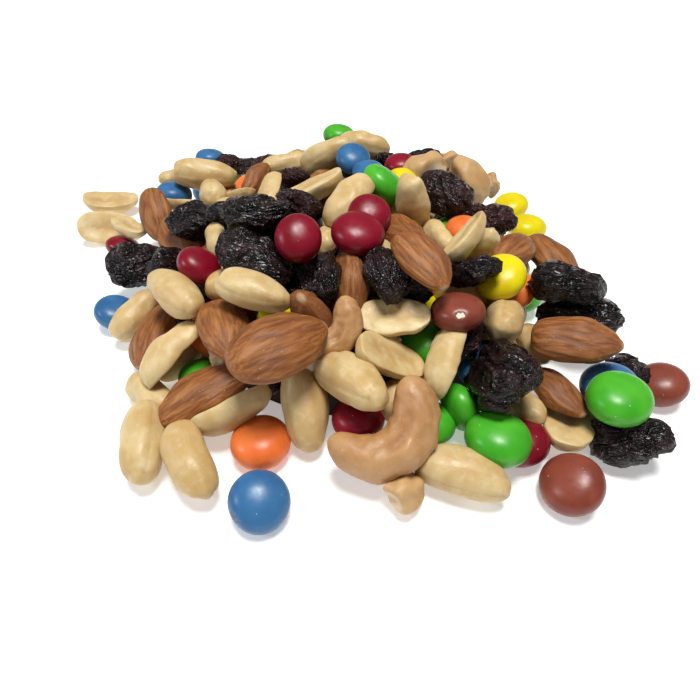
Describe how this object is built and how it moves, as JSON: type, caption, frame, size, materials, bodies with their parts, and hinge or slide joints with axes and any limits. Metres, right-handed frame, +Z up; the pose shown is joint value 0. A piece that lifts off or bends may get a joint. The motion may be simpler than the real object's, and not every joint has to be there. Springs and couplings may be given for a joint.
{
  "type": "heap of trail mix",
  "caption": "Low loose heap of trail mix on a bare surface: peanuts, peanut halves, almonds, cashews, raisins and sugar-shelled chocolate buttons.",
  "frame": {"origin": "on the surface that the heap lies on, in the middle of the heap's length and width", "axes": "+Z up; -Y is the side that faces the viewer; +X is to the viewer's right"},
  "size_m": [0.18, 0.1716, 0.0386],
  "materials": {
    "peanut": "roasted, slightly oily, salted",
    "almond": "brown wrinkled skin, dry",
    "cashew": "roasted, slightly oily",
    "raisin": "dark, sticky, wrinkled",
    "shell_red": "sugar shell, satin",
    "shell_blue": "sugar shell, satin",
    "shell_green": "sugar shell, satin",
    "shell_yellow": "sugar shell, satin",
    "shell_orange": "sugar shell, satin",
    "shell_brown": "sugar shell, satin",
    "chocolate": "milk chocolate, shown where a shell is cracked, and the dark inside of the heap"
  },
  "bodies": {
    "root": {"trail_mix_heap": "peanut"}
  },
  "joints": []
}
